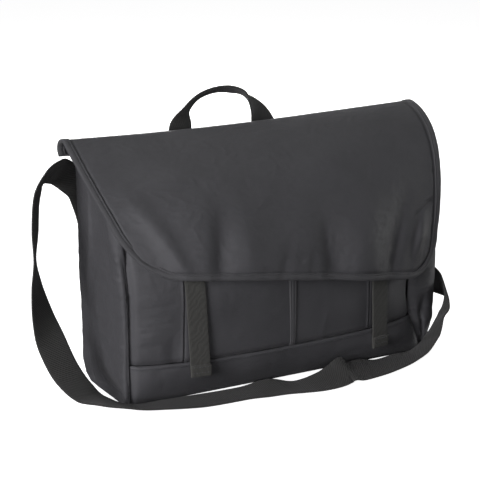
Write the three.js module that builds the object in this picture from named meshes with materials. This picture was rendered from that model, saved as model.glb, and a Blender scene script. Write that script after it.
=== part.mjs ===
// A soft messenger shoulder bag, standing on its base with its flap closed.
// Millimetres, +X from the bag's left to its right as seen from the front, +Y to the back, +Z up.
// The origin is the middle of the base, on the surface that the bag stands on.
import * as THREE from 'three';

const { clamp, lerp, smoothstep } = THREE.MathUtils;

// Cloth
const WALL = 2.4; // coated cloth of the body panels
const FLAP_WALL = 2.4; // padded cloth of the flap
const SEAM_GAP = 0.6; // clearance left between sewn panels

// Body
const BAND_TOP = 52; // seam between the base band and the pocket
const POCKET_TOP = 172; // mouth of the front pocket
const FRONT_TOP = 206; // top edge of the front panel
const FRONT_TOP_DIP = 29; // its corners are this much lower
const FRONT_TOP_POWER = 6; // how late across the panel they drop
const BACK_TOP = 290; // top edge of the back panel
const GUSSET_FRONT_TOP = 193; // the gusset's top edge slopes up from here
const GUSSET_BACK_TOP = 286; // to here
const GUSSET_TOP_POWER = 0.6; // curve of that edge
const FRONT_POWER = 3; // how boxy the swell of the front and of the back is
const GUSSET_POWER = 3.6; // how boxy the swell of a gusset is
const BACK_SWELL = 5; // swell of the back panel
const PANEL_LAP = WALL + SEAM_GAP; // the front panel lies this far behind the pocket's edge
const POCKET_SLACK = 0.5; // share of the swell that the front panel keeps at the pocket's mouth
const BASE_INSET = 4; // the base turns up this far behind its front line
const BASE_TUCK = 6; // how fast the base's sides draw in towards its front and back

// Rows of the panels, as shares from their lower edge to their upper one
const BACK_ROWS = [0, 0.02, 0.05, 0.12, 0.3, 0.55, 0.8, 1];
const GUSSET_ROWS = [0, 0.03, 0.08, 0.15, 0.25, 0.4, 0.55, 0.7, 0.85, 1];
const BAND_ROWS = [0, 0.08, 0.2, 0.4, 0.7, 1];
const BOTTOM_STEPS = 6;
const FRONT_STEPS = { up: 8, across: 18 };
const POCKET_STEPS = { up: 7, across: 20 };
const BACK_STEPS = 14;
const GUSSET_STEPS = 14;
const BASE_STEPS = 16;

// One row for each height of the body, all in millimetres:
// z, place of the front seams (frontY, leftX, rightX), swell of the front, back seams (backY, backX),
// swell of the left gusset (left) and of the right one (right).
const SECTIONS = [
  { z: 0, frontY: -54, leftX: 202, rightX: 209, swell: 0, backY: 50, backX: 211, left: 6, right: 8 },
  { z: 10, frontY: -57, leftX: 203, rightX: 206, swell: 9, backY: 56, backX: 214, left: 7.5, right: 20 },
  { z: 30, frontY: -58, leftX: 203, rightX: 198, swell: 20, backY: 58, backX: 216, left: 8, right: 37 },
  { z: 52, frontY: -57, leftX: 203, rightX: 190, swell: 25, backY: 59, backX: 216, left: 7, right: 46 },
  { z: 100, frontY: -56, leftX: 202, rightX: 188, swell: 27, backY: 59, backX: 216, left: 7, right: 49 },
  { z: 150, frontY: -54, leftX: 202, rightX: 191, swell: 26, backY: 59, backX: 216, left: 8, right: 44 },
  { z: 200, frontY: -42, leftX: 204, rightX: 198, swell: 19, backY: 59, backX: 216, left: 8, right: 34 },
  { z: 245, frontY: -16, leftX: 205, rightX: 204, swell: 12, backY: 59, backX: 216, left: 8, right: 22 },
  { z: 290, frontY: 10, leftX: 206, rightX: 206, swell: 8, backY: 59, backX: 216, left: 8, right: 14 },
];

// Flap
const FLAP_BACK = { y: 70, z: 290 }; // its rearmost line
const FLAP_CORNER = 56; // radius of the two lower corners
const FLAP_CORNER_LEAD = 16; // the rows beside the corners start this far above them
const FLAP_WIDTH = 452; // mean width, for the corners
const FLAP_BACK_STEPS = 7; // rows from the seam to the fold
const FLAP_FRONT_STEPS = 10; // rows from the fold to the corners
const FLAP_CORNER_STEPS = 4; // rows beside the corners
const FLAP_CREST_POWER = 1.3; // rows lie closer together near the fold
const FLAP_ARC_STEPS = 6; // columns across each corner
const FLAP_MIDDLE_STEPS = 12; // columns between the corners
const BINDING = 6.5; // binding tape seen on each face of the flap's edge
const BINDING_TAPE = 0.8; // thickness of that tape
const BINDING_GAP = 1.6; // clearance between the tape and the flap

// One row for each rib of the flap, from its left edge (share 0) to its right edge (share 1): height of
// its seam on the back (seamZ), the fold (foldX, foldY, foldZ), the hem (hemX, hemY, hemZ), the run and
// fall of the crest in front of the fold (crest, dip), the height and lean of the part that hangs
// above the hem (hang, lean), and how far the rib bows to the left (bow).
const RIBS = [
  { share: 0, seamZ: 285, foldX: -238, foldY: 46, foldZ: 307, hemX: -190, hemY: -66, hemZ: 163 },
  { share: 0.25, seamZ: 276, foldX: -120, foldY: 48, foldZ: 304, hemX: -105, hemY: -91, hemZ: 156 },
  { share: 0.5, seamZ: 276, foldX: 0, foldY: 48, foldZ: 304, hemX: 0, hemY: -94, hemZ: 142 },
  { share: 0.75, seamZ: 276, foldX: 122, foldY: 48, foldZ: 307, hemX: 112, hemY: -92, hemZ: 124 },
  { share: 1, seamZ: 282, foldX: 247, foldY: 46, foldZ: 311, hemX: 212, hemY: -66, hemZ: 104 },
];
const RIB_BENDS = [
  { share: 0, crest: 49, dip: 42, hang: 55, lean: 24, bow: 8 },
  { share: 0.25, crest: 62, dip: 26, hang: 70, lean: 12, bow: 0 },
  { share: 0.5, crest: 72, dip: 20, hang: 76, lean: 6, bow: 0 },
  { share: 0.75, crest: 86, dip: 14, hang: 92, lean: 2, bow: 0 },
  { share: 1, crest: 98, dip: 10, hang: 116, lean: -4, bow: 0 },
];

// Webbing
const EDGE_BEVEL = 0.8; // share of half the thickness that a webbing's edge is rounded by

// Grab handle, a flat webbing that turns from its sewn feet to lie flat in the hand
const HANDLE_WIDTH = 32;
const HANDLE_THICK = 2.2;
const HANDLE_STEPS = 40;

// One row for each station along the handle: its middle and the direction of the webbing's width.
const HANDLE = [
  { x: -80, y: 66, z: 262, wx: 1, wy: 0, wz: 0 },
  { x: -79, y: 70.3, z: 284, wx: 1, wy: 0, wz: -0.1 },
  { x: -76, y: 72, z: 303, wx: 1, wy: 0.1, wz: -0.35 },
  { x: -67, y: 72, z: 324, wx: 0.5, wy: 0.8, wz: -0.4 },
  { x: -49, y: 72, z: 339, wx: 0.3, wy: 0.9, wz: -0.3 },
  { x: -20, y: 72, z: 345, wx: 0.1, wy: 1, wz: -0.2 },
  { x: 5, y: 72, z: 339, wx: 0.2, wy: 0.95, wz: 0 },
  { x: 23, y: 72, z: 323, wx: 0.5, wy: 0.8, wz: 0.3 },
  { x: 37, y: 72, z: 302, wx: 1, wy: 0.2, wz: 0.4 },
  { x: 45, y: 70.3, z: 284, wx: 1, wy: 0, wz: 0.1 },
  { x: 48, y: 66, z: 262, wx: 1, wy: 0, wz: 0 },
];

// Shoulder strap, a flat webbing from the back's left edge, over the floor in front of the bag,
// to the back's right edge, with a slanting hump on the floor
const STRAP_WIDTH = 38;
const STRAP_THICK = 2;
const STRAP_STEPS = 80;

// One row for each station along the strap: its middle and the direction of the webbing's width.
const STRAP = [
  { x: -199, y: 62.8, z: 196, wx: 0.92, wy: 0, wz: 0.4 },
  { x: -204, y: 64.5, z: 219, wx: 0.8, wy: 0, wz: 0.6 },
  { x: -214, y: 67.5, z: 244, wx: 0.45, wy: 0.14, wz: 0.88 },
  { x: -236, y: 65, z: 263.3, wx: 0.2, wy: -0.4, wz: 0.86 },
  { x: -253, y: 49, z: 270.3, wx: 0.05, wy: -0.68, wz: 0.72 },
  { x: -267, y: 38, z: 266, wx: -0.13, wy: -0.79, wz: 0.6 },
  { x: -279.5, y: 30, z: 248, wx: -0.4, wy: -0.79, wz: 0.43 },
  { x: -288, y: 18, z: 210, wx: -0.46, wy: -0.83, wz: 0.28 },
  { x: -293, y: 8, z: 178, wx: -0.35, wy: -0.9, wz: 0.15 },
  { x: -294, y: 2, z: 146, wx: -0.6, wy: -0.8, wz: 0.1 },
  { x: -290, y: -4, z: 110, wx: -0.85, wy: -0.5, wz: 0.05 },
  { x: -282, y: -13, z: 75, wx: -1, wy: -0.1, wz: 0 },
  { x: -271, y: -28, z: 44, wx: -1, wy: -0.1, wz: 0.05 },
  { x: -256, y: -48, z: 24, wx: -0.95, wy: -0.25, wz: 0.1 },
  { x: -236, y: -64, z: 16, wx: -0.75, wy: -0.6, wz: 0.25 },
  { x: -206, y: -76, z: 9, wx: -0.2, wy: -0.95, wz: 0.25 },
  { x: -168, y: -80, z: 6, wx: -0.15, wy: -1, wz: 0.12 },
  { x: -120, y: -80, z: 2, wx: -0.15, wy: -1, wz: 0 },
  { x: -66, y: -83, z: 2, wx: -0.1, wy: -1, wz: 0 },
  { x: -30, y: -89, z: 5, wx: 0, wy: -1, wz: -0.18 },
  { x: 3, y: -96, z: 2, wx: 0, wy: -1, wz: 0 },
  { x: 38, y: -102, z: 6.5, wx: 0, wy: -0.95, wz: -0.25 },
  { x: 55, y: -101, z: 10, wx: 0.15, wy: -0.87, wz: -0.47 },
  { x: 68, y: -99, z: 13.5, wx: 0.39, wy: -0.71, wz: -0.61 },
  { x: 82, y: -97, z: 8.5, wx: 0.2, wy: -0.9, wz: -0.35 },
  { x: 98, y: -95, z: 7.5, wx: 0, wy: -0.93, wz: -0.32 },
  { x: 125, y: -94, z: 6, wx: 0, wy: -0.99, wz: -0.1 },
  { x: 157, y: -91, z: 9, wx: 0.2, wy: -0.96, wz: 0.02 },
  { x: 182, y: -88, z: 12.8, wx: 0.33, wy: -0.87, wz: 0.31 },
  { x: 203, y: -82, z: 23, wx: 0.33, wy: -0.74, wz: 0.58 },
  { x: 212, y: -78, z: 31, wx: -0.05, wy: -0.9, wz: 0.42 },
  { x: 224, y: -70.5, z: 42.5, wx: -0.09, wy: -0.8, wz: 0.6 },
  { x: 234.5, y: -65.5, z: 50.5, wx: -0.12, wy: -0.84, wz: 0.53 },
  { x: 242.5, y: -56, z: 61.5, wx: 0, wy: -0.3, wz: 0.95 },
  { x: 256, y: -35, z: 74, wx: -0.33, wy: -0.03, wz: 0.94 },
  { x: 262, y: 11, z: 77, wx: 0.1, wy: -0.2, wz: 1 },
  { x: 266, y: 48, z: 104, wx: 0.25, wy: 0.2, wz: 0.95 },
  { x: 252, y: 70, z: 136, wx: 0.55, wy: 0.15, wz: 0.8 },
  { x: 226, y: 68, z: 174, wx: 0.8, wy: 0, wz: 0.6 },
  { x: 204, y: 62.4, z: 208, wx: 0.88, wy: 0, wz: 0.45 },
];

// Webbing tails on the front
const TAIL_WIDTH = 25;
const TAIL_THICK = 2;
const TAIL_TOP = 214; // sewn to the front panel here, under the flap
const TAIL_HEM = 15; // length of the folded end, which is twice as thick
const TAIL_STEPS = 12;
const TAIL_LIE = 20; // below this height over the band's seam a tail hangs clear of the swelling band
const TAILS = [
  { name: 'front_tail_left', x: -128.5, bottom: 35, swing: 5, drift: 4 },
  { name: 'front_tail_right', x: 127, bottom: 27, swing: 5, drift: 1 },
];

// Welt down the middle of the pocket
const WELT_TOP_WIDTH = 12;
const WELT_BOTTOM_WIDTH = 7;
const WELT_THICK = 1;
const WELT_STEPS = { up: 8, across: 4 };

const CLOTH = { color: '#3f3f43', roughness: 0.6 };
const WEBBING = { color: '#45453f', roughness: 0.8 };

// Reads one column of a table at a place along its key, on a smooth curve through the rows.
function column(table, key, place, name) {
  const last = table.length - 1;
  let row = 0;
  while (row < last - 1 && place > table[row + 1][key]) row += 1;
  const a = table[row];
  const b = table[row + 1];
  const span = b[key] - a[key];
  const t = clamp((place - a[key]) / span, 0, 1);
  const slope = (i) => {
    const lo = table[Math.max(i - 1, 0)];
    const hi = table[Math.min(i + 1, last)];
    return (hi[name] - lo[name]) / (hi[key] - lo[key]);
  };
  const t2 = t * t;
  const t3 = t2 * t;
  return (2 * t3 - 3 * t2 + 1) * a[name] + (t3 - 2 * t2 + t) * span * slope(row)
    + (3 * t2 - 2 * t3) * b[name] + (t3 - t2) * span * slope(row + 1);
}

// All columns of a table at a place along its key.
function readTable(table, key, place) {
  const row = {};
  for (const name of Object.keys(table[0])) row[name] = column(table, key, place, name);
  return row;
}

function section(z) {
  return readTable(SECTIONS, 'z', z);
}

// A geometry of shared points, turned so that its faces point out.
function closedGeometry(points, faces) {
  let volume = 0;
  const cross = new THREE.Vector3();
  for (let i = 0; i < faces.length; i += 3) {
    cross.crossVectors(points[faces[i + 1]], points[faces[i + 2]]);
    volume += points[faces[i]].dot(cross);
  }
  if (volume < 0) faces.reverse();
  const geometry = new THREE.BufferGeometry();
  const numbers = points.flatMap((p) => p.toArray());
  geometry.setAttribute('position', new THREE.Float32BufferAttribute(numbers, 3));
  geometry.setIndex(faces);
  geometry.computeVertexNormals();
  return geometry;
}

// Joins an outer and an inner grid of points into one closed wall.
function wallGeometry(outer, inner) {
  const rows = outer.length;
  const cols = outer[0].length;
  const points = [...outer.flat(), ...inner.flat()];
  const index = (layer, r, c) => layer * rows * cols + r * cols + c;
  const faces = [];
  const quad = (a, b, c, d) => faces.push(a, b, c, a, c, d);
  for (let r = 0; r < rows - 1; r += 1) {
    for (let c = 0; c < cols - 1; c += 1) {
      quad(index(0, r, c), index(0, r, c + 1), index(0, r + 1, c + 1), index(0, r + 1, c));
      quad(index(1, r, c), index(1, r + 1, c), index(1, r + 1, c + 1), index(1, r, c + 1));
    }
  }
  for (let c = 0; c < cols - 1; c += 1) {
    const end = rows - 1;
    quad(index(0, 0, c + 1), index(0, 0, c), index(1, 0, c), index(1, 0, c + 1));
    quad(index(0, end, c), index(0, end, c + 1), index(1, end, c + 1), index(1, end, c));
  }
  for (let r = 0; r < rows - 1; r += 1) {
    const end = cols - 1;
    quad(index(0, r, 0), index(0, r + 1, 0), index(1, r + 1, 0), index(1, r, 0));
    quad(index(0, r + 1, end), index(0, r, end), index(1, r, end), index(1, r + 1, end));
  }
  return closedGeometry(points, faces);
}

// Moves each point of a grid square to the grid's surface. A positive distance goes along
// (across the row) x (down the column).
function offsetGrid(grid, distance) {
  const rows = grid.length;
  const cols = grid[0].length;
  return grid.map((line, r) => line.map((point, c) => {
    const across = grid[r][Math.min(c + 1, cols - 1)].clone().sub(grid[r][Math.max(c - 1, 0)]);
    const down = grid[Math.min(r + 1, rows - 1)][c].clone().sub(grid[Math.max(r - 1, 0)][c]);
    const normal = across.cross(down).normalize();
    return point.clone().addScaledVector(normal, distance);
  }));
}

// A grid of points from a surface function of two shares, 0 to 1.
function sampleGrid(surface, rowShares, colShares) {
  return rowShares.map((v) => colShares.map((u) => surface(u, v)));
}

function steps(count) {
  return Array.from({ length: count + 1 }, (_, i) => i / count);
}

// Share of a swell that is left at a place across, -1 to 1.
function swellShape(t) {
  return 1 - Math.abs(t) ** FRONT_POWER;
}

// Front of the bag at a share across (0 left seam, 1 right seam) and a height.
function frontPoint(u, z, lap, swellShare) {
  const s = section(z);
  const x = lerp(-s.leftX + SEAM_GAP, s.rightX - SEAM_GAP, u);
  const swell = s.swell * swellShare * swellShape(2 * u - 1);
  return new THREE.Vector3(x, s.frontY + lap - swell, z);
}

// A point in front of the pocket's face.
function pocketFace(x, z, clear) {
  const s = section(z);
  const u = (x + s.leftX) / (s.leftX + s.rightX);
  return new THREE.Vector3(x, frontPoint(u, z, 0, 1).y - clear, z);
}

function backPoint(u, z) {
  const s = section(z);
  const t = 2 * u - 1;
  return new THREE.Vector3(t * (s.backX - SEAM_GAP), s.backY + BACK_SWELL * swellShape(t), z);
}

// Place along a gusset's chord, 0 at the front seam and 1 at the back one, at a share of its curve.
function chordPlace(share) {
  const cosine = Math.cos(Math.PI * share);
  return (1 - Math.sign(cosine) * Math.abs(cosine) ** (2 / GUSSET_POWER)) / 2;
}

// Side of the bag: share 0 at the front seam, 1 at the back seam. side is -1 left, 1 right.
function gussetPoint(side, share, z) {
  const s = section(z);
  const frontX = side < 0 ? s.leftX : s.rightX;
  const swell = side < 0 ? s.left : s.right;
  const out = Math.sin(Math.PI * share) ** (2 / GUSSET_POWER);
  const chordShare = chordPlace(share);
  const x = lerp(frontX, s.backX, chordShare) + swell * out + SEAM_GAP;
  return new THREE.Vector3(side * x, lerp(s.frontY, s.backY, chordShare), z);
}

// Height of a gusset's top edge at a share from front to back.
function gussetTop(share) {
  return lerp(GUSSET_FRONT_TOP, GUSSET_BACK_TOP, chordPlace(share) ** GUSSET_TOP_POWER);
}

function makeMesh(name, geometry, { color, roughness }) {
  const material = new THREE.MeshStandardMaterial({ color, roughness, metalness: 0 });
  const mesh = new THREE.Mesh(geometry, material);
  mesh.name = name;
  return mesh;
}

// Front wall of the pocket
function frontPocket() {
  const outer = sampleGrid(
    (u, v) => frontPoint(u, lerp(BAND_TOP + SEAM_GAP, POCKET_TOP, v), 0, 1),
    steps(POCKET_STEPS.up), steps(POCKET_STEPS.across));
  return wallGeometry(outer, offsetGrid(outer, -WALL));
}

// Front panel behind the pocket, lying back from it towards the pocket's mouth
function frontPanel() {
  const outer = sampleGrid((u, v) => {
    const top = FRONT_TOP - FRONT_TOP_DIP * Math.abs(2 * u - 1) ** FRONT_TOP_POWER;
    const z = lerp(BAND_TOP + SEAM_GAP, top, v);
    const share = lerp(1, POCKET_SLACK, smoothstep(z, BAND_TOP, POCKET_TOP));
    return frontPoint(u, z, PANEL_LAP, share);
  }, steps(FRONT_STEPS.up), steps(FRONT_STEPS.across));
  return wallGeometry(outer, offsetGrid(outer, -WALL));
}

function backPanel() {
  const outer = sampleGrid((u, v) => backPoint(u, v * BACK_TOP), BACK_ROWS, steps(BACK_STEPS));
  return wallGeometry(outer, offsetGrid(outer, WALL));
}

function gusset(side) {
  const outer = sampleGrid(
    (u, v) => gussetPoint(side, u, v * gussetTop(u)),
    GUSSET_ROWS, steps(GUSSET_STEPS));
  return wallGeometry(outer, offsetGrid(outer, -side * WALL));
}

// The base and the band that it turns up into at the front
function baseAndBand() {
  const floor = section(0);
  const depth = floor.backY - floor.frontY;
  const inset = WALL + SEAM_GAP;
  const across = steps(BASE_STEPS);
  const bottom = steps(BOTTOM_STEPS).map((v) => {
    const y = lerp(floor.backY - inset, floor.frontY + BASE_INSET, v);
    const share = (y - floor.frontY) / depth;
    const along = Math.min(Math.abs(2 * share - 1) * (1 + BASE_TUCK * inset / depth), 1);
    const out = (1 - along ** GUSSET_POWER) ** (1 / GUSSET_POWER);
    const reach = (frontX, swell) => lerp(frontX, floor.backX, share) - 2 * SEAM_GAP
      + (swell - inset) * out;
    const left = -reach(floor.leftX, floor.left);
    const right = reach(floor.rightX, floor.right);
    return across.map((u) => new THREE.Vector3(lerp(left, right, u), y, 0));
  });
  const band = BAND_ROWS.map((v) => across.map((u) => frontPoint(u, v * (BAND_TOP - SEAM_GAP), 0, 1)));
  const outer = [...bottom, ...band];
  return wallGeometry(outer, offsetGrid(outer, -WALL));
}

// The flap's outer face at its seam on the back panel.
function flapSeamY(x, z) {
  const u = clamp(0.5 + x / (2 * section(z).backX), 0, 1);
  return backPoint(u, z).y + SEAM_GAP + FLAP_WALL;
}

// The flap's curve from its seam to the fold, and from there down the front, at a share across.
function ribCurves(share) {
  const rib = readTable(RIBS, 'share', share);
  const bend = readTable(RIB_BENDS, 'share', share);
  const fold = new THREE.Vector3(rib.foldX, rib.foldY, rib.foldZ);
  const hem = new THREE.Vector3(rib.hemX, rib.hemY, rib.hemZ);
  const drift = (rib.hemX - rib.foldX) / 3;
  const back = new THREE.CubicBezierCurve3(
    new THREE.Vector3(rib.foldX, flapSeamY(rib.foldX, rib.seamZ), rib.seamZ),
    new THREE.Vector3(rib.foldX, FLAP_BACK.y, FLAP_BACK.z),
    new THREE.Vector3(rib.foldX, FLAP_BACK.y, rib.foldZ),
    fold);
  const front = new THREE.CubicBezierCurve3(
    fold,
    new THREE.Vector3(fold.x + drift - bend.bow, fold.y - bend.crest, fold.z - bend.dip),
    new THREE.Vector3(hem.x - drift - bend.bow, hem.y + bend.lean, hem.z + bend.hang),
    hem);
  return { back, front };
}

// How much of a rib's length the rounded corner takes away at a share across.
function cornerCut(share) {
  const fromEdge = Math.min(share, 1 - share) * FLAP_WIDTH;
  const reach = Math.max(FLAP_CORNER - fromEdge, 0);
  return FLAP_CORNER - Math.sqrt(Math.max(FLAP_CORNER ** 2 - reach ** 2, 0));
}

// Shares across the flap: close together round the corners, even between them.
function flapShares() {
  const corner = FLAP_CORNER / FLAP_WIDTH;
  const arc = steps(FLAP_ARC_STEPS).slice(0, -1);
  const left = arc.map((t) => corner * (1 - Math.cos((Math.PI / 2) * t)));
  const middle = steps(FLAP_MIDDLE_STEPS).map((t) => lerp(corner, 1 - corner, t));
  const right = left.map((share) => 1 - share).reverse();
  return [...left, ...middle, ...right];
}

// Points down one rib: over the fold, down to where the corners start, and on to the rounded hem.
function ribPoints(share) {
  const { back, front } = ribCurves(share);
  const length = front.getLength();
  const zone = 1 - (FLAP_CORNER + FLAP_CORNER_LEAD) / length;
  const end = 1 - cornerCut(share) / length;
  return [
    ...steps(FLAP_BACK_STEPS).map((t) => back.getPointAt(t)),
    ...steps(FLAP_FRONT_STEPS).slice(1).map((t) => front.getPointAt(t ** FLAP_CREST_POWER * zone)),
    ...steps(FLAP_CORNER_STEPS).slice(1).map((t) => front.getPointAt(lerp(zone, end, t))),
  ];
}

function flapGrid() {
  const ribs = flapShares().map(ribPoints);
  return ribs[0].map((_, r) => ribs.map((rib) => rib[r]));
}

function flap() {
  const outer = flapGrid();
  return wallGeometry(outer, offsetGrid(outer, FLAP_WALL));
}

// Sweeps a closed section of [out, up] pairs through frames into one closed solid.
// Both faces of a flat section are split along the same diagonal, so that they stay apart where it twists.
function sweepGeometry(frames, pairs) {
  const count = pairs.length;
  const points = frames.flatMap(({ origin, out, up, swell = 1 }) => pairs.map(([a, b]) => origin.clone()
    .addScaledVector(out, a)
    .addScaledVector(up, b * swell)));
  const faces = [];
  for (let i = 0; i < frames.length - 1; i += 1) {
    for (let k = 0; k < count; k += 1) {
      const a = i * count + k;
      const b = i * count + ((k + 1) % count);
      if (k < count / 2) faces.push(a, b, b + count, a, b + count, a + count);
      else faces.push(a, b, a + count, b, b + count, a + count);
    }
  }
  const outline = pairs.map(([a, b]) => new THREE.Vector2(a, b));
  const clockwise = THREE.ShapeUtils.isClockWise(outline);
  const end = (frames.length - 1) * count;
  for (const [a, b, c] of THREE.ShapeUtils.triangulateShape(outline, [])) {
    if (clockwise) faces.push(a, b, c, end + a, end + c, end + b);
    else faces.push(a, c, b, end + a, end + b, end + c);
  }
  return closedGeometry(points, faces);
}

// Frames of a flat webbing through stations, each with a middle and a width direction.
function webbingFrames(stations, count) {
  const middles = stations.map((s) => new THREE.Vector3(s.x, s.y, s.z));
  const widths = stations.map((s) => new THREE.Vector3(s.wx, s.wy, s.wz));
  const middle = new THREE.CatmullRomCurve3(middles, false, 'centripetal');
  const width = new THREE.CatmullRomCurve3(widths, false, 'centripetal');
  return steps(count).map((u) => {
    const ahead = middle.getTangent(u);
    const out = width.getPoint(u);
    out.addScaledVector(ahead, -out.dot(ahead)).normalize();
    return { origin: middle.getPoint(u), out, up: ahead.clone().cross(out) };
  });
}

// Section of a flat webbing with rounded edges.
function webbingSection(width, thick) {
  const w = width / 2;
  const t = thick / 2;
  const bevel = t * EDGE_BEVEL;
  const flat = t - bevel / 2;
  return [[-w, -flat], [-w + bevel, -t], [w - bevel, -t], [w, -flat],
    [w, flat], [w - bevel, t], [-w + bevel, t], [-w, flat]];
}

function webbing(stations, count, width, thick) {
  return sweepGeometry(webbingFrames(stations, count), webbingSection(width, thick));
}

// Binding: a folded tape round the flap's two sides and its lower edge.
function flapBinding() {
  const grid = flapGrid();
  const mid = offsetGrid(grid, FLAP_WALL / 2);
  const rows = grid.length - 1;
  const cols = grid[0].length - 1;
  const down = grid.slice(0, -1).map((_, r) => [r, 0]);
  const along = grid[0].map((_, c) => [rows, c]);
  const up = down.map(([r]) => [r, cols]).reverse();
  const route = [...down, ...along, ...up];
  const points = route.map(([r, c]) => mid[r][c]);
  const frames = route.map(([r, c], i) => {
    const after = points[Math.min(i + 1, points.length - 1)];
    const before = points[Math.max(i - 1, 0)];
    const ahead = after.clone().sub(before).normalize();
    const face = grid[r][c].clone().sub(mid[r][c]).normalize();
    return { origin: points[i], out: ahead.clone().cross(face).normalize(), up: face };
  });
  const near = FLAP_WALL / 2 + BINDING_GAP;
  const far = near + BINDING_TAPE;
  const tip = BINDING_GAP + BINDING_TAPE;
  return sweepGeometry(frames, [
    [-BINDING, far], [BINDING_GAP, far], [tip, 0], [BINDING_GAP, -far], [-BINDING, -far],
    [-BINDING, -near], [BINDING_GAP, -near], [BINDING_GAP, near], [-BINDING, near],
  ]);
}

// Welt: a narrow strip sewn down the middle of the pocket.
function pocketWelt() {
  const outer = sampleGrid((u, v) => {
    const half = lerp(WELT_BOTTOM_WIDTH, WELT_TOP_WIDTH, v) / 2;
    const z = lerp(BAND_TOP + SEAM_GAP, POCKET_TOP, v);
    return pocketFace((2 * u - 1) * half, z, SEAM_GAP / 2 + WELT_THICK);
  }, steps(WELT_STEPS.up), steps(WELT_STEPS.across));
  return wallGeometry(outer, offsetGrid(outer, -WELT_THICK));
}

// Webbing tail that hangs from under the flap, with its end folded up on itself.
function frontTail({ x, bottom, swing, drift }) {
  const clearance = SEAM_GAP + TAIL_THICK / 2;
  const hang = steps(TAIL_STEPS).map((v) => lerp(TAIL_TOP, bottom, v));
  const hem = hang.findIndex((z) => z < bottom + TAIL_HEM);
  hang.splice(hem, 0, bottom + TAIL_HEM + SEAM_GAP, bottom + TAIL_HEM);
  const points = hang.map((z) => {
    const below = clamp((POCKET_TOP - z) / (POCKET_TOP - bottom), 0, 1);
    const level = Math.max(z, BAND_TOP + TAIL_LIE);
    return pocketFace(x + drift * below, level, clearance + swing * below ** 2).setZ(z);
  });
  const side = TAIL_WIDTH / 2;
  const level = BAND_TOP + TAIL_LIE;
  const out = pocketFace(x + side, level, 0).sub(pocketFace(x - side, level, 0)).normalize();
  const frames = points.map((origin, i) => {
    const after = points[Math.min(i + 1, points.length - 1)];
    const before = points[Math.max(i - 1, 0)];
    const ahead = after.clone().sub(before).normalize();
    const swell = hang[i] <= bottom + TAIL_HEM ? 2 : 1;
    return { origin, out, up: ahead.cross(out).normalize(), swell };
  });
  return sweepGeometry(frames, webbingSection(TAIL_WIDTH, TAIL_THICK));
}

const bag = new THREE.Group();
bag.add(makeMesh('front_pocket', frontPocket(), CLOTH));
bag.add(makeMesh('front_panel', frontPanel(), CLOTH));
bag.add(makeMesh('back_panel', backPanel(), CLOTH));
bag.add(makeMesh('gusset_left', gusset(-1), CLOTH));
bag.add(makeMesh('gusset_right', gusset(1), CLOTH));
bag.add(makeMesh('base', baseAndBand(), CLOTH));
bag.add(makeMesh('flap', flap(), CLOTH));
bag.add(makeMesh('flap_binding', flapBinding(), CLOTH));
bag.add(makeMesh('pocket_welt', pocketWelt(), CLOTH));
for (const tail of TAILS) bag.add(makeMesh(tail.name, frontTail(tail), WEBBING));
bag.add(makeMesh('grab_handle', webbing(HANDLE, HANDLE_STEPS, HANDLE_WIDTH, HANDLE_THICK), WEBBING));
bag.add(makeMesh('shoulder_strap', webbing(STRAP, STRAP_STEPS, STRAP_WIDTH, STRAP_THICK), WEBBING));

export default bag;
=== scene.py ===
# A soft messenger shoulder bag: cloth, tape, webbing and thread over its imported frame.
import math
import bpy
import numpy as np
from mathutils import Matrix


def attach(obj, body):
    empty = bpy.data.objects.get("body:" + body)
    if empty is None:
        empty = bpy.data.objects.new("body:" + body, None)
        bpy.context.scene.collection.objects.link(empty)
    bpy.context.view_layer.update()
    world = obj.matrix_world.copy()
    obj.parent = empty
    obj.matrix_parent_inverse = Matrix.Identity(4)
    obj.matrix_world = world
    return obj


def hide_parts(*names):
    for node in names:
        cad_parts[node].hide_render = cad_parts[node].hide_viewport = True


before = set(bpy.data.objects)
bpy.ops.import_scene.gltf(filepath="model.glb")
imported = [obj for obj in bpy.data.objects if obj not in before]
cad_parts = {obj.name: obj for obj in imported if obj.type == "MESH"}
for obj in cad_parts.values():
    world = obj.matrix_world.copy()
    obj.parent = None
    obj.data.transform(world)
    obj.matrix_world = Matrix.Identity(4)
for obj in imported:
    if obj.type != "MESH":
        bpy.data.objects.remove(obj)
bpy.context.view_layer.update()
scene = bpy.context.scene
MM = 0.001

# Camera at the photograph's angle
camera_data = bpy.data.cameras.new("camera")
camera_data.sensor_width = 36
camera_data.lens = 104.1
camera = bpy.data.objects.new("camera", camera_data)
camera.location = (-0.7772, -1.4665, 0.6718)
camera.rotation_euler = (math.radians(73), 0, math.radians(-27))
scene.collection.objects.link(camera)
scene.camera = camera

# Sizes in millimetres and powers of curves, as in the frame
WALL = 2.4
FLAP_WALL = 2.4
SEAM_GAP = 0.6
BAND_TOP = 52
POCKET_TOP = 172
FRONT_TOP = 206
FRONT_TOP_DIP = 29
FRONT_TOP_POWER = 6
BACK_TOP = 290
GUSSET_FRONT_TOP = 193
GUSSET_BACK_TOP = 286
GUSSET_TOP_POWER = 0.6
FRONT_POWER = 3
GUSSET_POWER = 3.6
BACK_SWELL = 5
PANEL_LAP = WALL + SEAM_GAP
POCKET_SLACK = 0.5
BASE_INSET = 4
BASE_TUCK = 6
FLAP_BACK_Y = 70
FLAP_BACK_Z = 290
FLAP_CORNER = 56
FLAP_CORNER_LEAD = 16
FLAP_WIDTH = 452
BINDING = 6.5
HANDLE_WIDTH = 32
HANDLE_THICK = 2.2
STRAP_WIDTH = 38
STRAP_THICK = 2
TAIL_WIDTH = 25
TAIL_THICK = 2
TAIL_TOP = 214
TAIL_HEM = 15
TAIL_LIE = 20
WELT_TOP_WIDTH = 12
WELT_BOTTOM_WIDTH = 7
WELT_THICK = 1

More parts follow.
